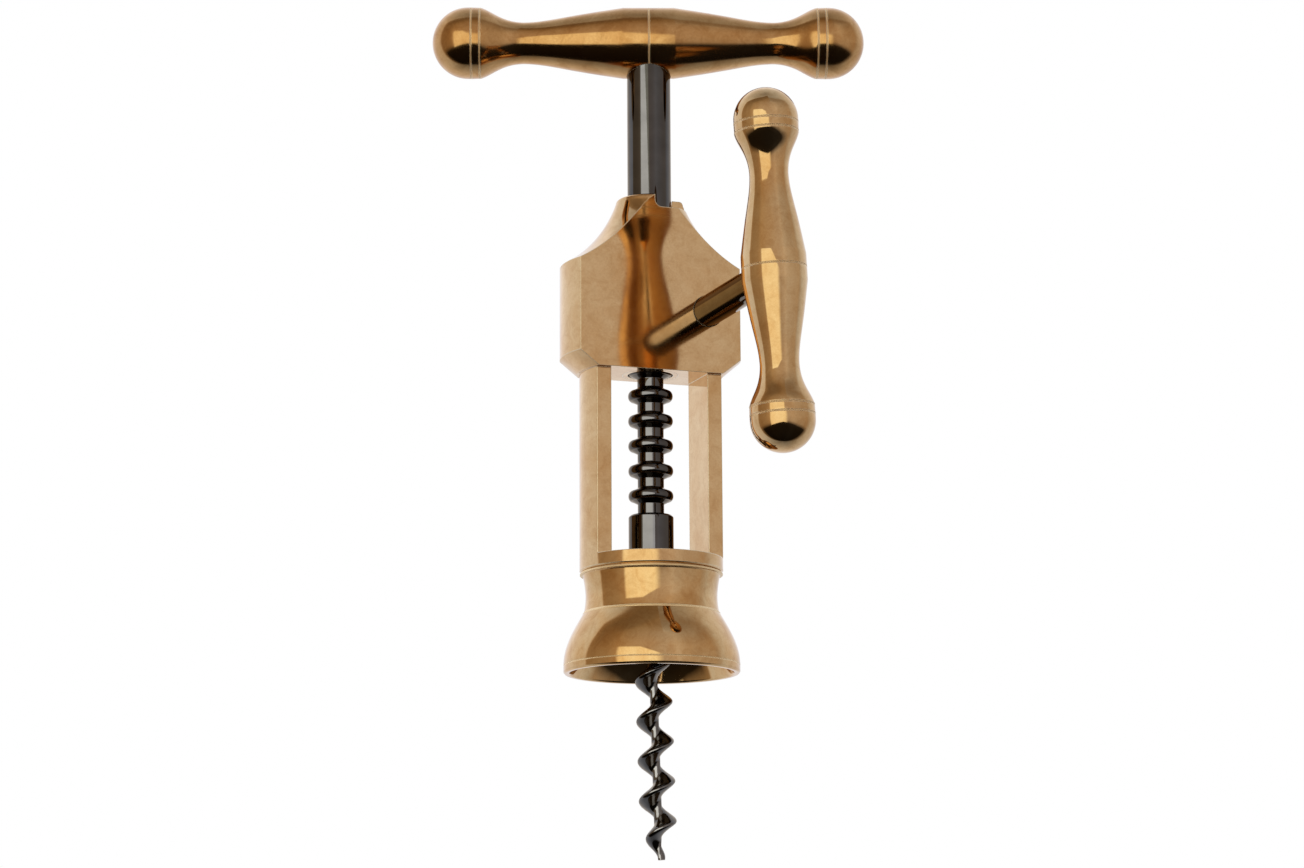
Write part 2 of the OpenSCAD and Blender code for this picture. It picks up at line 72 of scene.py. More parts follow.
# the camera, as the photograph was taken: low on the left, looking up
viewpoint = {
    "place": (-0.24909, -0.68782, -0.08994),
    "heading": 19.932,  # degrees from +Y towards +X
    "tilt": 11.107,  # degrees upwards
    "roll": -0.325,
    "lens": 92.47,
    "sensor": 36,
    "nearest": 0.01,
}

heading, tilt, roll = (math.radians(viewpoint[k]) for k in ("heading", "tilt", "roll"))
bpy.ops.object.camera_add(location=viewpoint["place"])
camera = bpy.context.object
camera.name = "photoCamera"
camera.data.lens = viewpoint["lens"]
camera.data.sensor_width = viewpoint["sensor"]
camera.data.clip_start = viewpoint["nearest"]
camera.rotation_euler = (
    Matrix.Rotation(-heading, 4, "Z")
    @ Matrix.Rotation(math.pi / 2 + tilt, 4, "X")
    @ Matrix.Rotation(roll, 4, "Z")
).to_euler()
bpy.context.scene.camera = camera
print("camera set")


# the studio: a white backdrop behind, one softbox on the camera's left, a dim warm room in front
studio = {
    # brightness round the horizon, as (degrees from +Y towards +X, value)
    "round": [(-180, 0.52), (-112, 0.47), (-99, 0.37), (-75, 0.32), (-66, 0.36), (-63, 0.78),
              (-40, 0.84), (-25, 0.89), (-8, 1.05), (28, 1.05), (42, 0.9), (70, 0.78), (88, 0.68),
              (104, 0.46),
              (125, 0.46), (150, 0.52), (165, 0.6), (180, 0.52)],
    # colour of that light: the room is warmer than the backdrop
    "tint": [(-180, "#ffeee4"), (-112, "#ffdfba"), (-67, "#ffddb6"), (-62, "#f3f5ff"), (92, "#f3f5ff"),
             (108, "#ffebdb"), (160, "#fff5f2"), (180, "#ffeee4")],
    # share of that brightness by height, behind the object and in front of it
    "heightBehind": [(-90, 0.16), (-60, 0.46), (-45, 0.66), (-28, 0.8), (-12, 0.86), (3, 0.88), (12, 1),
                     (45, 0.97), (55, 0.76), (66, 0.58), (78, 0.46), (90, 0.3)],
    "heightFront": [(-90, 0.01), (-32, 0.025), (-23, 0.04), (-19, 0.38), (-13, 0.84), (4, 1), (28, 0.98),
                    (46, 0.78), (56, 0.6), (90, 0.5)],
    "softbox": {"left": (-178, -164), "right": (-117, -111), "bottom": (-22.5, -20.5), "top": (22, 24.5),
                "slant": 0.5, "slantFrom": -145, "colour": "#fff9e2", "value": 1.1},
    "floorHeight": -0.097,
    # the dark floor in front reaches higher towards the camera, in degrees
    "darkRise": {"at": -160, "peak": 4.5, "fall": 0.15, "least": -4},
    "backdrop": [(-76, 0.0), (-63, 1.0), (92, 1.0), (110, 0.0)],  # 1 where it stands
    "widening": {"from": 46, "share": 0.02},  # of the backdrop overhead, for each degree of height
    "inner": (0.46, 0.28),  # share of its light that a second and a third reflection keep
    "innerColour": "#ffcf8c",  # brass lit by brass is deeper yellow
    "innerDeepening": 1.6,
    # where 0, all of it is kept: at the backdrop's middle, and most of it at the softbox
    "innerFrom": [(-178, 1.0), (-170, 0.3), (-118, 0.3), (-108, 1.0), (-45, 1.0), (-30, 0.0),
                  (-4, 0.0), (10, 1.0)],
}


def studioWorld():
    world = bpy.data.worlds.new("studioWorld")
    bpy.context.scene.world = world
    world.use_nodes = True
    tree = world.node_tree
    tree.nodes.clear()

    def sums(kind, a, b):
        return addNode(tree, "ShaderNodeMath", {"operation": kind}, {0: a, 1: b}).outputs[0]

    def edge(value, start, end):  # 0 before start, 1 after end
        return addNode(tree, "ShaderNodeMapRange", {"interpolation_type": "SMOOTHSTEP"},
                       {0: value, 1: start, 2: end}).outputs[0]

    def byAngle(share, stops, full):
        ramp = [((a + full / 2) / full, v) for a, v in stops]
        return addNode(tree, "ShaderNodeValToRGB", inputs={0: share}, ramp=ramp).outputs[0]

    way = addNode(tree, "ShaderNodeTexCoord").outputs["Generated"]
    xyz = addNode(tree, "ShaderNodeSeparateXYZ", inputs={0: way}).outputs
    turn = sums("MULTIPLY", sums("ARCTAN2", xyz[0], xyz[1]), 180 / math.pi)
    rise = sums("MULTIPLY", sums("ARCSINE", xyz[2], 0), 180 / math.pi)
    wide = studio["widening"]
    drawnIn = sums("MULTIPLY", sums("MAXIMUM", sums("SUBTRACT", rise, wide["from"]), 0), wide["share"])
    turnShare = sums("ADD", sums("DIVIDE", sums("MULTIPLY", turn, sums("SUBTRACT", 1, drawnIn)), 360), 0.5)
    riseShare = sums("ADD", sums("DIVIDE", rise, 180), 0.5)

    dark = studio["darkRise"]
    aside = sums("ABSOLUTE", sums("SUBTRACT", turn, dark["at"]), 0)
    aside = sums("SUBTRACT", 180, sums("ABSOLUTE", sums("SUBTRACT", aside, 180), 0))
    lift = sums("SUBTRACT", dark["peak"], sums("MULTIPLY", aside, dark["fall"]))
    lift = sums("MAXIMUM", lift, dark["least"])
    above = sums("SUBTRACT", rise, lift)
    aboveShare = sums("ADD", sums("DIVIDE", above, 180), 0.5)

    behind = byAngle(turnShare, studio["backdrop"], 360)
    height = addNode(tree, "ShaderNodeMix", {"data_type": "FLOAT"},
                     {0: behind, 2: byAngle(aboveShare, studio["heightFront"], 180),
                      3: byAngle(riseShare, studio["heightBehind"], 180)}).outputs[0]
    room = sums("MULTIPLY", byAngle(turnShare, studio["round"], 360), height)
    room = addNode(tree, "ShaderNodeVectorMath", {"operation": "SCALE"},
                   {0: byAngle(turnShare, studio["tint"], 360), "Scale": room}).outputs[0]

    box = studio["softbox"]
    # the softbox's top falls away on the left
    lowered = sums("MAXIMUM", sums("SUBTRACT", box["slantFrom"], turn), 0)
    tall = sums("ADD", rise, sums("MULTIPLY", lowered, box["slant"]))
    inside = sums("MULTIPLY", edge(turn, *box["left"]), edge(above, *box["bottom"]))
    inside = sums("MULTIPLY", inside, sums("SUBTRACT", 1, edge(turn, *box["right"])))
    inside = sums("MULTIPLY", inside, sums("SUBTRACT", 1, edge(tall, *box["top"])))
    glow = [c * box["value"] for c in hexColour(box["colour"])]
    light = addNode(tree, "ShaderNodeMix", {"data_type": "RGBA"}, {0: inside, 6: room, 7: glow}).outputs[2]

    rays = addNode(tree, "ShaderNodeLightPath").outputs
    second, third = studio["inner"]
    depth = rays["Ray Depth"]  # 2 after one reflection, 3 after two
    share = addNode(tree, "ShaderNodeMapRange", inputs={0: depth, 1: 2, 2: 3, 3: 1, 4: second}).outputs[0]
    fainter = addNode(tree, "ShaderNodeMapRange",
                      inputs={0: depth, 1: 3, 2: 4, 3: 1, 4: third / second}).outputs[0]
    share = sums("MULTIPLY", share, fainter)
    share = addNode(tree, "ShaderNodeMix", {"data_type": "FLOAT"},
                    {0: byAngle(turnShare, studio["innerFrom"], 360), 2: 1.0, 3: share}).outputs[0]
    deeper = sums("MULTIPLY", sums("SUBTRACT", 1, share), studio["innerDeepening"])
    light = addNode(tree, "ShaderNodeMix", {"data_type": "RGBA", "blend_type": "MULTIPLY"},
                    {0: deeper, 6: light, 7: hexColour(studio["innerColour"])}).outputs[2]
    lit = addNode(tree, "ShaderNodeBackground", inputs={"Color": light, "Strength": share})
    white = addNode(tree, "ShaderNodeBackground", inputs={"Color": (1, 1, 1, 1), "Strength": 1.0})
    shown = addNode(tree, "ShaderNodeMixShader",
                    inputs={0: rays["Is Camera Ray"], 1: lit.outputs[0], 2: white.outputs[0]})
    addNode(tree, "ShaderNodeOutputWorld", inputs={"Surface": shown.outputs[0]})


studioWorld()

bpy.ops.mesh.primitive_circle_add(vertices=96, radius=3, fill_type="NGON",
                                  location=(0, 0, studio["floorHeight"]))
floor = bpy.context.object
floor.name = "paleFloor"
floor.visible_glossy = False
floorPaint = bpy.data.materials.new("paleSweep")
floorPaint.use_nodes = True
paint = floorPaint.node_tree.nodes["Principled BSDF"].inputs
paint["Base Color"].default_value = hexColour("#f4f4f2")
paint["Roughness"].default_value = 0.9
floor.data.materials.append(floorPaint)

keyLight = {"place": (-0.7, -0.5, 0.9), "aim": (0, 0, 0.04), "size": 0.7, "energy": 8}
bpy.ops.object.light_add(type="AREA", location=keyLight["place"])
keyLamp = bpy.context.object
keyLamp.name = "keySoftbox"
keyLamp.data.size = keyLight["size"]
keyLamp.data.energy = keyLight["energy"]
keyLamp.visible_glossy = False  # metal sees the studio above
towards = Vector(keyLight["aim"]) - keyLamp.location
keyLamp.rotation_euler = towards.to_track_quat("-Z", "Y").to_euler()
print("studio lit")


# what every finish starts from
def newFinish(name):
    material = bpy.data.materials.new(name)
    material.use_nodes = True
    tree = material.node_tree
    place = addNode(tree, "ShaderNodeTexCoord").outputs["Object"]
    return material, tree, tree.nodes["Principled BSDF"], place


# brass of four states of wear; sizes in metres
brassLooks = {
    # cage and head: milled flat and hand-polished to a mirror, with thin warm clouds of tarnish
    "milled": {"clean": "#f0cf9d", "warm": "#e2b77f", "cloud": 0.011, "gloss": (0.05, 0.12),
               "turnedAlong": (0, 0, 0), "stain": 0.28},
    # side handle and lower bush: turned, then polished in the lathe to an even warm mirror
    "turned": {"clean": "#eecd9a", "warm": "#e0b47a", "cloud": 0.008, "gloss": (0.04, 0.08),
               "turnedAlong": (0, 0, 0), "stain": 0.32},
    # bell: as the handle, with darker yellow tarnish where hands and bottles touch it
    "belled": {"clean": "#efcd98", "warm": "#e0af70", "cloud": 0.009, "gloss": (0.04, 0.08),
               "turnedAlong": (0, 0, 0), "stain": 0.36},
    # cross handle: darkened and dulled a little by hands
    "handled": {"clean": "#e0b57c", "warm": "#d09e62", "cloud": 0.007, "gloss": (0.11, 0.19),
                "turnedAlong": (0, math.radians(90), math.radians(18.7)), "stain": 0.4},
}
smearSize = 0.0035  # of the smears left by wiping
edgeWidth = 0.00026  # reach of the broken edges on each face, where a highlight is painted
grainSize = 0.0004  # of the fine scratches left by the polish, drawn as coarse as they show
toolMark = 0.00035  # spacing of the turning marks, likewise
# shares of haze and turning marks, and broken edges with their painted highlight by how far they turn away,
# as a cosine
brassDetail = {
    "haze": 0.3, "marks": 0.45, "markWidth": 90, "edgeTurn": (0.998, 0.95), "edgeGloss": 0.25,
    "edgeMetal": 0.75, "relief": 0.06, "reliefDepth": 0.00002,
}
freshCutHighlightColour = "#fbdfab"  # brass cut after the polish, painted paler as the highlight of the fine rings
edgeHighlightColour = "#fff0d0"  # its broken edges: a pale colour painted as the highlight they catch from the backdrop


# solid yellow brass: a warm mirror with soft clouds, hazed by fine scratches, with a highlight painted on
# its edges
def polishedBrass(name, look):
    detail = brassDetail
    material, tree, shader, place = newFinish(name)
    cloud = addNode(tree, "ShaderNodeTexNoise", inputs={
        "Vector": place, "Scale": 1 / look["cloud"], "Detail": 5, "Roughness": 0.6,
        "Distortion": 0.5}).outputs[0]
    grain = addNode(tree, "ShaderNodeTexNoise",
                    inputs={"Vector": place, "Scale": 1 / grainSize, "Detail": 3}).outputs[0]
    tone = addNode(tree, "ShaderNodeValToRGB", inputs={0: cloud},
                   ramp=[(0.36, look["clean"]), (0.72, look["warm"])])
    dust = addNode(tree, "ShaderNodeValToRGB", inputs={0: grain},
                   ramp=[(0.35, "#ffffff"), (0.7, "#e4d7c4")])
    colour = addNode(tree, "ShaderNodeMix", {"data_type": "RGBA", "blend_type": "MULTIPLY"},
                     {0: detail["haze"], 6: tone.outputs[0], 7: dust.outputs[0]})
    finest, dullest = look["gloss"]
    gloss = addNode(tree, "ShaderNodeMapRange", inputs={0: cloud, 1: 0.3, 2: 0.75, 3: finest, 4: dullest})
    lathe = addNode(tree, "ShaderNodeMapping", inputs={
        "Vector": place, "Rotation": look["turnedAlong"],
        "Scale": (detail["markWidth"], detail["markWidth"], 1 / toolMark)}).outputs[0]
    marks = addNode(tree, "ShaderNodeTexNoise",
                    inputs={"Vector": lathe, "Scale": 1, "Detail": 2}).outputs[0]
    relief = addNode(tree, "ShaderNodeMix", {"data_type": "FLOAT"},
                     {0: detail["marks"], 2: grain, 3: marks}).outputs[0]
    stain = addNode(tree, "ShaderNodeTexNoise", inputs={
        "Vector": place, "Scale": 1 / smearSize, "Detail": 6, "Roughness": 0.65,
        "Distortion": 1.2}).outputs[0]
    wiped = addNode(tree, "ShaderNodeValToRGB", inputs={0: stain},
                    ramp=[(0.45, "#ffffff"), (0.68, "#cdb48e")])
    colour = addNode(tree, "ShaderNodeMix", {"data_type": "RGBA", "blend_type": "MULTIPLY"},
                     {0: look["stain"], 6: colour.outputs[2], 7: wiped.outputs[0]})
    rounded = addNode(tree, "ShaderNodeBevel", {"samples": 8}, {"Radius": edgeWidth}).outputs[0]
    facing = addNode(tree, "ShaderNodeNewGeometry").outputs["Normal"]
    away = addNode(tree, "ShaderNodeVectorMath", {"operation": "DOT_PRODUCT"},
                   {0: rounded, 1: facing}).outputs["Value"]
    flat, steep = detail["edgeTurn"]
    # edges get a pale, less metallic colour: a painted highlight
    brokenEdgeHighlight = addNode(tree, "ShaderNodeMapRange", inputs={0: away, 1: flat, 2: steep, 3: 0, 4: 1}).outputs[0]
    colour = addNode(tree, "ShaderNodeMix", {"data_type": "RGBA"},
                     {0: brokenEdgeHighlight, 6: colour.outputs[2], 7: hexColour(edgeHighlightColour)})
    gloss = addNode(tree, "ShaderNodeMix", {"data_type": "FLOAT"},
                    {0: brokenEdgeHighlight, 2: gloss.outputs[0], 3: detail["edgeGloss"]})
    metal = addNode(tree, "ShaderNodeMapRange", inputs={0: brokenEdgeHighlight, 3: 1, 4: detail["edgeMetal"]})
    bump = addNode(tree, "ShaderNodeBump", inputs={
        "Height": relief, "Strength": detail["relief"], "Distance": detail["reliefDepth"],
        "Normal": rounded})
    tree.links.new(metal.outputs[0], shader.inputs["Metallic"])
    tree.links.new(colour.outputs[2], shader.inputs["Base Color"])
    tree.links.new(gloss.outputs[0], shader.inputs["Roughness"])
    tree.links.new(bump.outputs[0], shader.inputs["Normal"])
    return material


plateSheen = "#fff3e2"  # what plain metals take on at a glancing angle, warm as the room


def plainMetal(name, colour, dark, roughness, grain):  # plated or machined metal
    material, tree, shader, place = newFinish(name)
    noise = addNode(tree, "ShaderNodeTexNoise", inputs={"Vector": place, "Scale": 1 / grain, "Detail": 4})
    tone = addNode(tree, "ShaderNodeValToRGB", inputs={0: noise.outputs[0]},
                   ramp=[(0.35, colour), (0.75, dark)])
    finest, dullest = roughness
    gloss = addNode(tree, "ShaderNodeMapRange",
                    inputs={0: noise.outputs[0], 1: 0.3, 2: 0.8, 3: finest, 4: dullest})
    shader.inputs["Metallic"].default_value = 1
    shader.inputs["Specular Tint"].default_value = hexColour(plateSheen)
    tree.links.new(tone.outputs[0], shader.inputs["Base Color"])
    tree.links.new(gloss.outputs[0], shader.inputs["Roughness"])
    return material


milledBrass = polishedBrass("milledBrass", brassLooks["milled"])
turnedBrass = polishedBrass("turnedBrass", brassLooks["turned"])
bellBrass = polishedBrass("bellBrass", brassLooks["belled"])
handledBrass = polishedBrass("handledBrass", brassLooks["handled"])
# edges and lines cut after the polish: matt enough to scatter, and painted pale as the highlight the fine
# rings catch
freshCutHighlightBrass, _, shader, _ = newFinish("freshCutHighlightBrass")
shader.inputs["Metallic"].default_value = 0.72
shader.inputs["Roughness"].default_value = 0.36
shader.inputs["Base Color"].default_value = hexColour(freshCutHighlightColour)
# bushes: bored bearing bronze, redder than the brass and left as machined
bronze = plainMetal("bearingBronze", "#c08a4c", "#9a6a36", (0.25, 0.4), 0.002)
# rack, rod, collar and axle: polished steel plated black, a dark mirror with thin hard highlights
blackNickel = plainMetal("blackNickel", "#636261", "#575655", (0.03, 0.06), 0.004)
# worm: the same plating on steel that was only brushed, so its highlights are wider and paler
wormBlack = plainMetal("wormBlack", "#807f7d", "#6c6b69", (0.09, 0.16), 0.002)
# screws, pins, key and pinion: bright steel as machined, grey with a soft sheen
steel = plainMetal("machinedSteel", "#b4b4b6", "#98989a", (0.25, 0.4), 0.001)

finishOf = {
    "frame": milledBrass, "rear_plate": milledBrass, "bell": bellBrass, "lower_bush": turnedBrass,
    "side_handle": turnedBrass, "bar_handle": handledBrass,
    "neck_bush": bronze, "front_bush": bronze, "rear_bush": bronze,
    "rack": blackNickel, "upper_rod": blackNickel, "collar": blackNickel, "axle": blackNickel,
    "worm": wormBlack,
}
for name, piece in frame["nodes"].items():
    piece.data.materials.clear()
    piece.data.materials.append(finishOf.get(name, steel))
print("finishes given")


def begin(kind, **size):  # a primitive in edit mode, with nothing else selected
    if bpy.context.mode != "OBJECT":
        bpy.ops.object.mode_set(mode="OBJECT")
    bpy.ops.object.select_all(action="DESELECT")
    getattr(bpy.ops.mesh, f"primitive_{kind}_add")(**size)
    bpy.ops.object.mode_set(mode="EDIT")
    return bpy.context.object


def sewn():  # merge what meets, faces outwards, and back to object mode
    bpy.ops.mesh.select_all(action="SELECT")
    bpy.ops.mesh.remove_doubles(threshold=0.000002)
    bpy.ops.mesh.normals_make_consistent(inside=False)
    bpy.ops.object.mode_set(mode="OBJECT")


def editing(piece):  # an existing piece in edit mode, all selected
    bpy.ops.object.select_all(action="DESELECT")
    piece.select_set(True)
    bpy.context.view_layer.objects.active = piece
    bpy.ops.object.mode_set(mode="EDIT")
    bpy.ops.mesh.select_all(action="SELECT")


# rounds each corner of an outline that turns by more than least degrees
def softened(outline, reach, least=14):
    done = [outline[0]]
    for before, corner, after in zip(outline, outline[1:], outline[2:]):
        a, b, c = Vector(before), Vector(corner), Vector(after)
        into, out = b - a, c - b
        if min(into.length, out.length) < tiny or math.degrees(into.angle(out)) < least:
            done.append(corner)
            continue
        cut = min(reach, 0.45 * into.length, 0.45 * out.length)
        p, q = b - into.normalized() * cut, b + out.normalized() * cut
        guard = 0.04 * min(into.length, out.length, 1)  # keeps the flats beside it true
        done.append(tuple(p - into.normalized() * guard))
        for i in range(4):
            t = i / 3
            done.append(tuple(p * (1 - t) ** 2 + 2 * b * t * (1 - t) + q * t * t))
        done.append(tuple(q + out.normalized() * guard))
    return done + [outline[-1]]


# an outline of (radius, height) in mm, spun round Z as in a lathe
def turned(name, outline, steps=128, along=None):
    piece = begin("plane", size=mm)
    piece.name = name
    bpy.ops.mesh.merge(type="CENTER")
    bpy.ops.transform.translate(value=(outline[0][0] * mm, 0, outline[0][1] * mm))
    for (r0, z0), (r1, z1) in zip(outline, outline[1:]):
        move = ((r1 - r0) * mm, 0, (z1 - z0) * mm)
        bpy.ops.mesh.extrude_region_move(TRANSFORM_OT_translate={"value": move})
    bpy.ops.mesh.select_all(action="SELECT")
    bpy.ops.mesh.spin(steps=steps, angle=2 * math.pi, center=(0, 0, 0), axis=(0, 0, 1))
    sewn()
    if along:
        piece.matrix_world = along
        bpy.ops.object.transform_apply(location=True, rotation=True, scale=True)
    return piece


def applied(piece, kind, **settings):  # one modifier, set and applied
    step = piece.modifiers.new(kind.title(), kind)
    for name, value in settings.items():
        setattr(step, name, value)
    bpy.context.view_layer.objects.active = piece
    bpy.ops.object.modifier_apply(modifier=step.name)


def block(low, high, bevelled=None):  # a cutter, in mm
    cutter = begin("cube", size=1, location=[(a + b) / 2 * mm for a, b in zip(low, high)])
    bpy.ops.transform.resize(value=[(b - a) * mm for a, b in zip(low, high)])
    if bevelled:
        edgeAt, radius = bevelled
        bpy.ops.mesh.select_all(action="DESELECT")
        bpy.ops.object.mode_set(mode="OBJECT")
        for edge in cutter.data.edges:
            ends = [cutter.matrix_world @ cutter.data.vertices[v].co for v in edge.vertices]
            edge.select = all(abs(e.x - edgeAt[0] * mm) < tiny and abs(e.z - edgeAt[1] * mm) < tiny
                              for e in ends)
        bpy.ops.object.mode_set(mode="EDIT")
        bpy.ops.mesh.bevel(offset=radius * mm, segments=8, affect="EDGES")
    bpy.ops.object.mode_set(mode="OBJECT")
    return cutter


def drill(radius, start, end, steps=96):  # a round cutter between two points, in mm
    start, end = Vector(start) * mm, Vector(end) * mm
    begin("cylinder", vertices=steps, radius=radius * mm, depth=(end - start).length,
          location=(start + end) / 2, rotation=(end - start).to_track_quat("Z", "Y").to_euler())
    bpy.ops.object.mode_set(mode="OBJECT")
    return bpy.context.object


def cutAway(piece, cutter):
    applied(piece, "BOOLEAN", operation="DIFFERENCE", solver="EXACT", object=cutter)
    bpy.data.objects.remove(cutter)


# faces between two heights of the lathe, and beyond a radius, get the second finish: cut brass painted pale
# as the rings' highlight
def freshCutHighlightLines(piece, lines, along=None):
    back = along.inverted() if along else Matrix()
    for face in piece.data.polygons:
        height = (back @ face.center).z / mm
        radius = (back @ face.center).xy.length / mm
        if any(low < height < high and radius > least for low, high, least in lines):
            face.material_index = 1


def finished(piece, finish, body, slotName, *nodes, smooth=32, evened=False):
    # faces of the fine rings, which keep the pale finish painted as their highlight
    cutAndHighlightFaces = [face.index for face in piece.data.polygons if face.material_index]
    piece.data.materials.clear()  # this sets every face back to the first finish
    piece.data.materials.append(finish)
    if cutAndHighlightFaces:
        piece.data.materials.append(freshCutHighlightBrass)
    for index in cutAndHighlightFaces:
        piece.data.polygons[index].material_index = 1
    bpy.ops.object.select_all(action="DESELECT")
    piece.select_set(True)
    bpy.context.view_layer.objects.active = piece
    bpy.ops.object.shade_smooth_by_angle(angle=math.radians(smooth))
    if evened:  # long flat faces keep their own normals beside small rounded edges
        applied(piece, "WEIGHTED_NORMAL", mode="FACE_AREA", weight=100, keep_sharp=True)
    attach(piece, body)
    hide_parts(*nodes)
    print("made", piece.name, len(piece.data.polygons), "faces")


ringStep = 1.95  # between the two fine rings beside a ball


def fineRidge(place, radius, half=0.13):  # a hair-fine raised ring between two scored lines
    ring = [(place - half * 1.25, radius)]
    for i in range(7):
        a = math.pi * i / 6
        ring.append((place - half * math.cos(a), radius - half + half * math.sin(a)))
    return ring + [(place + half * 1.25, radius)]


# the bell: turned, with a flared mouth that stands on the bottle, in mm as all the shapes below
bellShape = {
    "rim": 19.45, "rimBand": 1.9, "flareTop": 13.05, "flareRadius": 15.2,
    "neck": 14.55, "neckHeight": 17.1, "bead": 15.8, "beadHeight": 0.75, "seam": 22.4,
    "seamBevel": 0.37, "cage": 15.87, "spigot": 13.1, "spigotBottom": 15.5, "bore": 11.3, "mouth": 18,
    "ceiling": 15.6, "ceilingHeight": 9,
}


def makeBell(b):
    beadFoot = b["seam"] - b["beadHeight"]
    neckFoot = b["flareTop"] + 0.45
    line = [(b["ceiling"], b["ceilingHeight"] - 0.5), (b["mouth"], 0.25), (b["mouth"] + 0.25, 0),
            (b["rim"] - 0.35, 0), (b["rim"], 0.4), (b["rim"], b["rimBand"] - 0.2)]
    line += [(b["rim"] - 0.09, b["rimBand"] - 0.1), (b["rim"] - 0.02, b["rimBand"])]
    for i in range(1, 37):  # the flare
        t = 1 - i / 36
        line.append((b["flareRadius"] + (b["rim"] - 0.02 - b["flareRadius"]) * math.sin(math.pi / 2 * t),
                     b["flareTop"] - (b["flareTop"] - b["rimBand"]) * t))
    line.append((b["flareRadius"], b["flareTop"] + 0.15))
    for i in range(0, 13):  # the neck, hollow up to the bead
        t = 1 - i / 12
        line.append((b["neck"] + (b["flareRadius"] - 0.25 - b["neck"]) * t * t,
                     b["neckHeight"] - (b["neckHeight"] - neckFoot) * t))
    for i in range(1, 15):  # and on to the bead
        t = i / 14
        line.append((b["neck"] + (b["bead"] - 0.65 - b["neck"]) * t ** 1.6,
                     b["neckHeight"] + (beadFoot - b["neckHeight"]) * t))
    line += [(b["bead"], beadFoot + 0.12), (b["bead"], b["seam"] - 0.35),
             (b["cage"] - b["seamBevel"], b["seam"]), (b["spigot"], b["seam"]),
             (b["spigot"], b["spigotBottom"]), (b["bore"], b["spigotBottom"]),
             (b["bore"], b["ceilingHeight"] + 0.6), (b["bore"] + 0.6, b["ceilingHeight"]),
             (b["ceiling"] - 0.5, b["ceilingHeight"]), (b["ceiling"], b["ceilingHeight"] - 0.5)]
    piece = turned("bellMouth", softened(line, 0.14), steps=192)
    freshCutHighlightLines(piece, [(b["rimBand"] - 0.24, b["rimBand"] + 0.02, b["rim"] - 0.5),
                       (b["flareTop"] - 0.05, b["flareTop"] + 0.5, b["flareRadius"] - 0.5),
                       (beadFoot - 0.05, b["seam"] + 0.01, b["bead"] - 0.6)])
    return piece


finished(makeBell(bellShape), bellBrass, "frame", "brass", "bell")

# the handles: one outline at two sizes, a ball at each end
crankPin = next((j["pos_m"][0] / mm, j["pos_m"][2] / mm)
                for j in frame["joints"] if j["name"] == "side_crank")
crossHandle = {
    "half": 49.1, "middle": 8.05, "flat": 5.7, "waist": 4.72, "waistAt": 28.2, "bandAt": 38.3, "ball": 8.1,
    "height": 144.33, "turn": -18.7, "rod": 4.925, "rodTop": 146.0, "screwHead": 2.8, "screwSeat": 5.6,
}
sideHandle = {
    "half": 39.7, "middle": 7.02, "flat": 2.8, "waist": 4.22, "waistAt": 20.5, "bandAt": 29.8, "ball": 7,
    "reach": 46.8, "turn": -2.66, "shift": 0.45, "axle": 3.45, "axleSeat": 1.7, "grub": 1.5,
}


def handleOutline(h):
    side = [(h["flat"], h["middle"])]
    for i in range(1, 41):  # long taper to the waist
        t = i / 40
        fall = t + 0.085 * math.sin(math.pi * t ** 3)
        side.append((h["flat"] + (h["waistAt"] - h["flat"]) * t,
                     h["middle"] - (h["middle"] - h["waist"]) * fall))
    top = h["ball"] - 0.05
    for i in range(1, 31):  # rise to the band beside the ball
        t = i / 30
        rise = t * t + 0.1 * math.sin(math.pi * t ** 3)
        side.append((h["waistAt"] + (h["bandAt"] - 0.2 - h["waistAt"]) * t,
                     h["waist"] + (top - h["waist"]) * rise))
    side += fineRidge(h["bandAt"], top) + fineRidge(h["bandAt"] + ringStep, h["ball"])
    centre = h["half"] - h["ball"]
    for i in range(0, 25):
        a = math.pi / 2 * i / 24
        side.append((centre + h["ball"] * math.sin(a), h["ball"] * math.cos(a)))
    whole = [(-x, r) for x, r in reversed(side)] + fineRidge(0, h["middle"]) + side
    return [(r, x) for x, r in whole]


def ringLines(h):
    places = [0] + [side * (h["bandAt"] + step) for side in (-1, 1) for step in (0, ringStep)]
    return [(place - 0.17, place + 0.17, 0) for place in places]


def makeCrossHandle(h):
    along = (Matrix.Translation((0, 0, h["height"] * mm))
             @ Matrix.Rotation(math.radians(h["turn"]), 4, "Z")
             @ Matrix.Rotation(math.pi / 2, 4, "Y"))
    piece = turned("crossHandle", handleOutline(h), steps=144, along=along)
    freshCutHighlightLines(piece, ringLines(h), along)
    cutAway(piece, drill(h["rod"], (0, 0, h["rodTop"] - 30), (0, 0, h["rodTop"])))
    cutAway(piece, drill(h["screwHead"], (0, 0, h["height"] + h["screwSeat"]),
                         (0, 0, h["height"] + 30)))
    return piece


def makeSideHandle(h):
    pinX, pinZ = crankPin
    tilt = Matrix.Rotation(math.radians(h["turn"]), 4, "Y")
    along = (Matrix.Translation((pinX * mm, -h["reach"] * mm, pinZ * mm)) @ tilt
             @ Matrix.Translation((0, 0, h["shift"] * mm)))
    piece = turned("sideHandle", handleOutline(h), steps=128, along=along)
    freshCutHighlightLines(piece, ringLines(h), along)
    cutAway(piece, drill(h["axle"], (pinX, -h["reach"] - h["axleSeat"], pinZ), (pinX, 0, pinZ)))
    sideways = tilt @ Vector((1, 0, 0))
    start = Vector((pinX, -h["reach"], pinZ))
    cutAway(piece, drill(h["grub"], start + sideways * h["axle"], start + sideways * 12, steps=48))
    return piece


finished(makeCrossHandle(crossHandle), handledBrass, "screw", "brass", "bar_handle")
finished(makeSideHandle(sideHandle), turnedBrass, "crank", "brass", "side_handle")

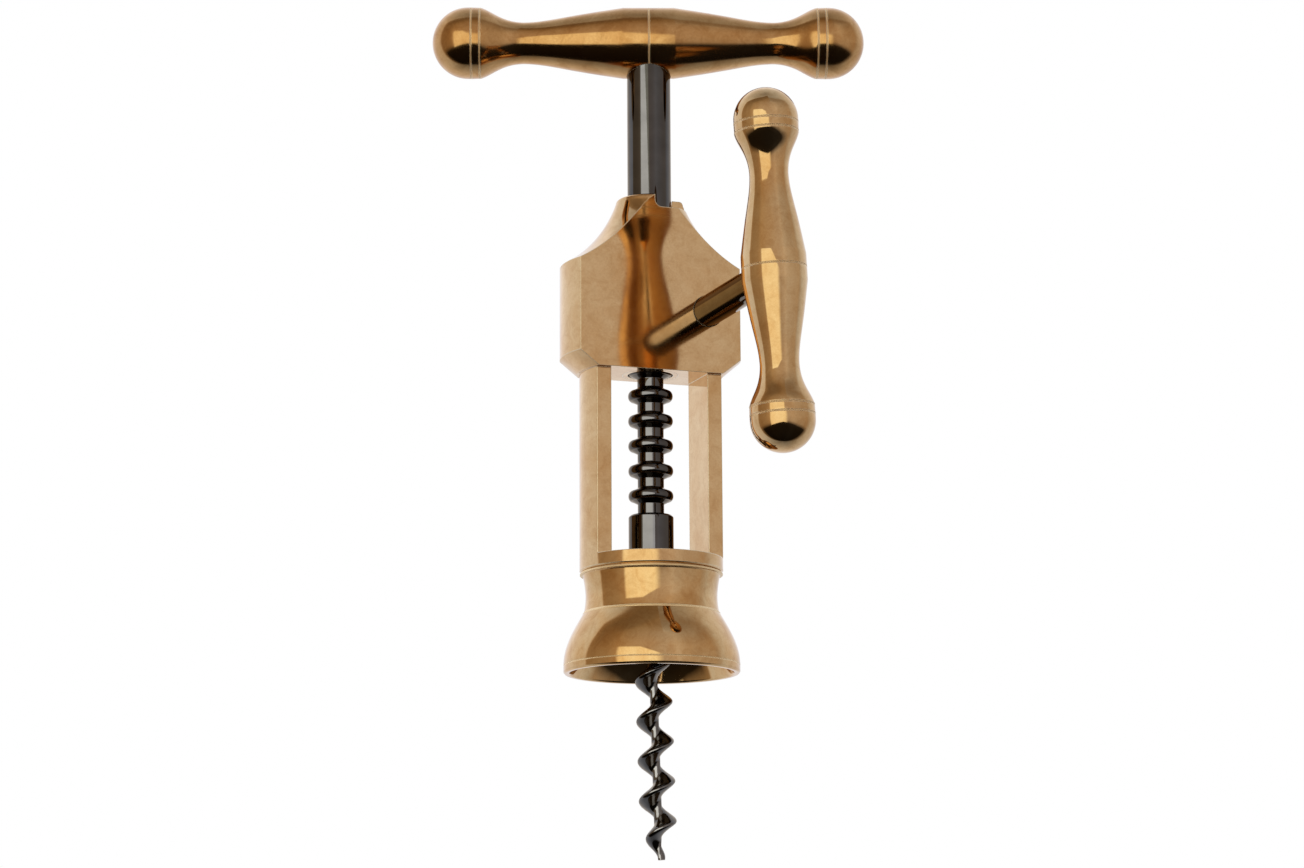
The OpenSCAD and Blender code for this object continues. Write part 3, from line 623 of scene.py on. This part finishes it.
# the frame: turned from one bar, then milled to its flats, window and notch
frameShape = {
    "cage": 15.87, "pillarFlat": 6.1, "window": 11.36, "sill": 25.38, "seam": 22.4, "seamBevel": 0.37,
    "spigot": 13.1, "spigotBottom": 15.5, "corkBore": 11.3,
    "headBottom": 66.93, "head": 20.24, "headFlat": 7.35, "chamfer": 3.9, "chamferRise": 3.3,
    "headTop": 91.2, "shoulderCurve": 27.7, "neck": 7.62, "neckTop": 107.15, "neckEdge": 0.9,
    "rackBore": 5.06, "bushBore": 6.2,
    "notchLeft": -1.25, "notchFloor": 104.15, "notchBack": 1.8, "notchFillet": 1.6,
    "pocket": 7.6, "pocketFront": -3.6, "frontBush": 4.7, "frontBushFrom": -6.3, "axleHole": 3.5,
    "plateLeft": 4.2, "plateInner": 5.35, "plateLow": 70.75, "plateHigh": 90.55,
}


def shoulderLine(f):  # hollow curve from the head's top edge to the neck
    low, high = Vector((f["head"], f["headTop"])), Vector((f["neck"], f["neckTop"] - f["neckEdge"]))
    chord = high - low
    centre = (low + high) / 2 + math.sqrt(f["shoulderCurve"] ** 2 - chord.length ** 2 / 4) * Vector(
        (chord.y, -chord.x)) / chord.length
    start = math.atan2(low.y - centre.y, low.x - centre.x)
    sweep = math.remainder(math.atan2(high.y - centre.y, high.x - centre.x) - start, 2 * math.pi)
    return [(centre.x + f["shoulderCurve"] * math.cos(start + sweep * i / 32),
             centre.y + f["shoulderCurve"] * math.sin(start + sweep * i / 32)) for i in range(33)]


def makeFrame(f):
    pinX, pinZ = crankPin
    foot = f["headBottom"] - 1  # the bush's bore runs into the window's cut
    line = [(f["corkBore"], f["spigotBottom"]), (f["spigot"], f["spigotBottom"]), (f["spigot"], f["seam"]),
            (f["cage"] - f["seamBevel"], f["seam"]), (f["cage"], f["seam"] + f["seamBevel"]),
            (f["cage"], f["headBottom"]), (f["head"] - f["chamfer"], f["headBottom"]),
            (f["head"], f["headBottom"] + f["chamferRise"])]
    line += shoulderLine(f)
    for i in range(1, 7):  # round edge of the neck
        a = math.pi / 2 * i / 6
        line.append((f["neck"] - f["neckEdge"] * (1 - math.cos(a)),
                     f["neckTop"] - f["neckEdge"] * (1 - math.sin(a))))
    line += [(f["rackBore"], f["neckTop"]), (f["rackBore"], f["notchFloor"]),
             (f["bushBore"], f["notchFloor"]), (f["bushBore"], foot), (f["corkBore"], foot),
             (f["corkBore"], f["spigotBottom"])]
    piece = turned("milledFrame", line, steps=160)
    far = 60  # beyond the bar on every side
    for side in (-1, 1):
        for flat, low, high in ((f["pillarFlat"], f["sill"], f["headBottom"]),
                                (f["headFlat"], foot, f["neckTop"] + 5)):
            front, back = sorted((side * flat, side * far))
            cutAway(piece, block((-far, front, low), (far, back, high)))
    cutAway(piece, block((-f["window"], -far, f["sill"]), (f["window"], far, f["headBottom"])))
    cutAway(piece, block((f["notchLeft"], -far, f["notchFloor"]), (far, -f["notchBack"], far * 2),
                         bevelled=((f["notchLeft"], f["notchFloor"]), f["notchFillet"])))
    cutAway(piece, drill(f["pocket"], (pinX, f["pocketFront"], pinZ), (pinX, f["plateInner"] + 0.5, pinZ)))
    cutAway(piece, drill(f["frontBush"], (pinX, f["frontBushFrom"], pinZ), (pinX, 0, pinZ)))
    cutAway(piece, drill(f["axleHole"], (pinX, -far, pinZ), (pinX, 0, pinZ)))
    cutAway(piece, block((f["plateLeft"], f["plateInner"], f["plateLow"]), (far, far, f["plateHigh"])))
    editing(piece)  # and clean up the slivers that the cuts leave
    bpy.ops.mesh.remove_doubles(threshold=0.00001)
    bpy.ops.mesh.dissolve_limited(angle_limit=math.radians(0.4))
    sewn()
    return piece


finished(makeFrame(frameShape), milledBrass, "frame", "brass", "frame", smooth=40, evened=True)

# rack, rod and collar: turned steel, blackened
rackShape = {
    "ridge": 5.0, "root": 2.93, "pitch": 5.655, "ridges": 11, "half": 1.12, "round": 0.75, "spread": 0.66,
    "bottom": 35.27, "first": 4.27, "bandGap": 3.86, "band": 4.9, "rod": 4.925, "inner": 1.86,
}


def makeRack(r):
    line = [(r["inner"], r["bottom"]), (r["root"], r["bottom"])]
    foot = r["bottom"] + r["first"]
    for k in range(r["ridges"]):
        z = foot + k * r["pitch"]
        line.append((r["root"], z - r["half"] - r["spread"]))
        for i in range(25):
            a = math.pi * i / 24
            line.append((r["ridge"] - r["round"] * (1 - math.sin(a)), z - r["half"] * math.cos(a)))
        line.append((r["root"], z + r["half"] + r["spread"]))
    top = foot + (r["ridges"] - 1) * r["pitch"] + r["bandGap"]
    line += [(r["root"], top), (r["rod"] - 0.25, top), (r["rod"], top + 0.25),
             (r["rod"], top + r["band"]), (r["inner"], top + r["band"]), (r["inner"], r["bottom"])]
    return turned("ringedRack", softened(line, 0.16), steps=96)


rodShape = {"radius": 4.925, "inner": 1.8, "bottom": 104.9, "top": 145.9, "innerBottom": 21.52}
collarShape = {
    "radius": 5.0, "bottom": 11.02, "top": 35.22, "bevel": 0.45, "shank": 1.5, "shankSeat": 8.5,
    "rodSeat": 13.7, "pin": 0.6, "pinTurn": 70, "pinHeights": (24.32, 16.72),
}


def makeRod(r):
    line = [(0, r["innerBottom"]), (r["inner"], r["innerBottom"]), (r["inner"], r["bottom"]),
            (r["radius"], r["bottom"]), (r["radius"], r["top"]), (0, r["top"])]
    return turned("upperRod", softened(line, 0.1), steps=96)


def makeCollar(c):
    line = [(c["shank"], c["bottom"]), (c["radius"] - c["bevel"], c["bottom"]),
            (c["radius"], c["bottom"] + c["bevel"]), (c["radius"], c["top"] - c["bevel"]),
            (c["radius"] - c["bevel"], c["top"]), (rodShape["inner"], c["top"]),
            (rodShape["inner"], c["top"] - c["rodSeat"]), (c["shank"], c["bottom"] + c["shankSeat"]),
            (c["shank"], c["bottom"])]
    piece = turned("wormCollar", softened(line, 0.12), steps=96)
    turn = math.radians(c["pinTurn"])
    across = Vector((math.cos(turn), math.sin(turn), 0)) * 10
    for height in c["pinHeights"]:  # where its two cross pins go through
        middle = Vector((0, 0, height))
        cutAway(piece, drill(c["pin"], middle - across, middle + across, steps=32))
    return piece


finished(makeRack(rackShape), blackNickel, "rack", "black", "rack", evened=True)
finished(makeRod(rodShape), blackNickel, "screw", "black", "upper_rod", evened=True)
finished(makeCollar(collarShape), blackNickel, "screw", "black", "collar", evened=True)

# the axle: turned along Y, from inside the side handle to the rear journal
axleShape = {
    "front": -48.5, "radius": 3.45, "shoulder": -3.5, "pinion": 3.0, "pinionEnd": 3.5,
    "journal": 2.5, "end": 7.15,
}


def makeAxle(a):
    pinX, pinZ = crankPin
    line = [(0, -a["end"]), (a["journal"], -a["end"]), (a["journal"], -a["pinionEnd"]),
            (a["pinion"], -a["pinionEnd"]), (a["pinion"], -a["shoulder"]), (a["radius"], -a["shoulder"]),
            (a["radius"], -a["front"]), (0, -a["front"])]
    along = Matrix.Translation((pinX * mm, 0, pinZ * mm)) @ Matrix.Rotation(math.pi / 2, 4, "X")
    return turned("pinionAxle", softened(line, 0.12), steps=96, along=along)


finished(makeAxle(axleShape), blackNickel, "crank", "black", "axle", evened=True)

# the worm: a round core drawn out to one cutting edge, swept down its helix
wormShape = {
    "radius": 4.08, "core": 0.9, "edge": 2.6, "pitch": 8.7, "start": 234.2, "top": 10.57,
    "point": -40.7, "pointLength": 7.7, "pointShare": 0.3, "bluntness": (0.05, 0.45), "lean": 1.55,
    "leanTo": -19.9, "shank": 1.5, "shankTop": 19.52, "sides": 56, "step": 0.26,
}


def makeWorm(w):
    piece = begin("circle", vertices=w["sides"], radius=mm, location=(0, 0, w["top"] * mm))
    piece.name = "wormFlight"
    bpy.ops.object.mode_set(mode="OBJECT")
    for i, vertex in enumerate(piece.data.vertices):  # the section, cut square across the axis
        a = 2 * math.pi * i / w["sides"]
        r = (w["core"] + (w["radius"] - w["core"]) * ((1 + math.cos(a)) / 2) ** w["edge"]) * mm
        vertex.co = (r * math.cos(a), r * math.sin(a), 0)
    bpy.ops.object.mode_set(mode="EDIT")
    bpy.ops.mesh.select_all(action="SELECT")
    middle = Vector((0, 0, w["top"] * mm))

    def spun(angle):
        bpy.ops.transform.rotate(value=-angle, orient_axis="Z", center_override=middle)

    turnPerStep = 2 * math.pi * w["step"] / w["pitch"]
    spun(math.radians(w["start"]) + w["top"] * 2 * math.pi / w["pitch"])
    count = round((w["top"] - w["point"]) / w["step"])
    share = 1
    for i in range(1, count + 1):
        z = w["top"] - i * w["step"]
        left = (z - w["point"]) / w["pointLength"]
        wanted = 1 if left > 1 else w["pointShare"] + (1 - w["pointShare"]) * max(left, 0)
        middle.z = z * mm
        bpy.ops.mesh.extrude_region_move(TRANSFORM_OT_translate={"value": (0, 0, -w["step"] * mm)})
        spun(-turnPerStep)
        if wanted != share:
            bpy.ops.transform.resize(value=(wanted / share, wanted / share, 1), center_override=middle)
            share = wanted
    length, width = w["bluntness"]  # of the point's flat end
    bpy.ops.mesh.extrude_region_move(TRANSFORM_OT_translate={"value": (0, 0, -length * mm)})
    bpy.ops.transform.resize(value=(width, width, 1), center_override=middle)
    bpy.ops.mesh.edge_face_add()
    bpy.ops.mesh.select_all(action="DESELECT")
    bpy.ops.mesh.select_non_manifold()
    bpy.ops.mesh.edge_face_add()
    sewn()
    lean = Matrix.Rotation(math.radians(w["leanTo"]), 4, "Z")
    hinge = Matrix.Translation((0, 0, w["top"] * mm))
    piece.matrix_world = (hinge @ lean @ Matrix.Rotation(math.radians(-w["lean"]), 4, "Y") @ lean.inverted()
                          @ hinge.inverted() @ piece.matrix_world)
    bpy.ops.object.transform_apply(location=True, rotation=True, scale=True)
    line = [(0, w["top"] - 0.5), (w["shank"], w["top"] - 0.5), (w["shank"], w["shankTop"]),
            (0, w["shankTop"])]
    turned("wormShank", softened(line, 0.1), steps=48)
    piece.select_set(True)
    bpy.context.view_layer.objects.active = piece
    bpy.ops.object.join()
    return piece


finished(makeWorm(wormShape), wormBlack, "screw", "black", "worm", smooth=50)

# a long lamp panel on the left that only the blackened pieces take up,
# because polished black shows little else
glintLamp = {"near": (-0.624, -0.318), "far": (0, -2.1), "bottom": -0.25, "top": 0.39, "energy": 7}


def lightBlackPieces(lamp):
    near, far = Vector((*lamp["near"], 0)), Vector((*lamp["far"], 0))
    along = (far - near).normalized()
    up = Vector((0, 0, 1))
    bpy.ops.object.light_add(type="AREA")
    panel = bpy.context.object
    panel.name = "blackGlint"
    panel.data.shape = "RECTANGLE"
    panel.data.size = (far - near).length
    panel.data.size_y = lamp["top"] - lamp["bottom"]
    panel.data.energy = lamp["energy"]
    panel.visible_camera = False
    turn = Matrix((along, up, along.cross(up))).transposed().to_4x4()
    middle = (near + far) / 2 + up * (lamp["top"] + lamp["bottom"]) / 2
    panel.matrix_world = Matrix.Translation(middle) @ turn
    blackened = bpy.data.collections.new("blackened")
    for name in ("ringedRack", "upperRod", "wormCollar", "pinionAxle", "wormFlight"):
        blackened.objects.link(bpy.data.objects[name])
    panel.light_linking.receiver_collection = blackened


lightBlackPieces(glintLamp)
print("black pieces lit")
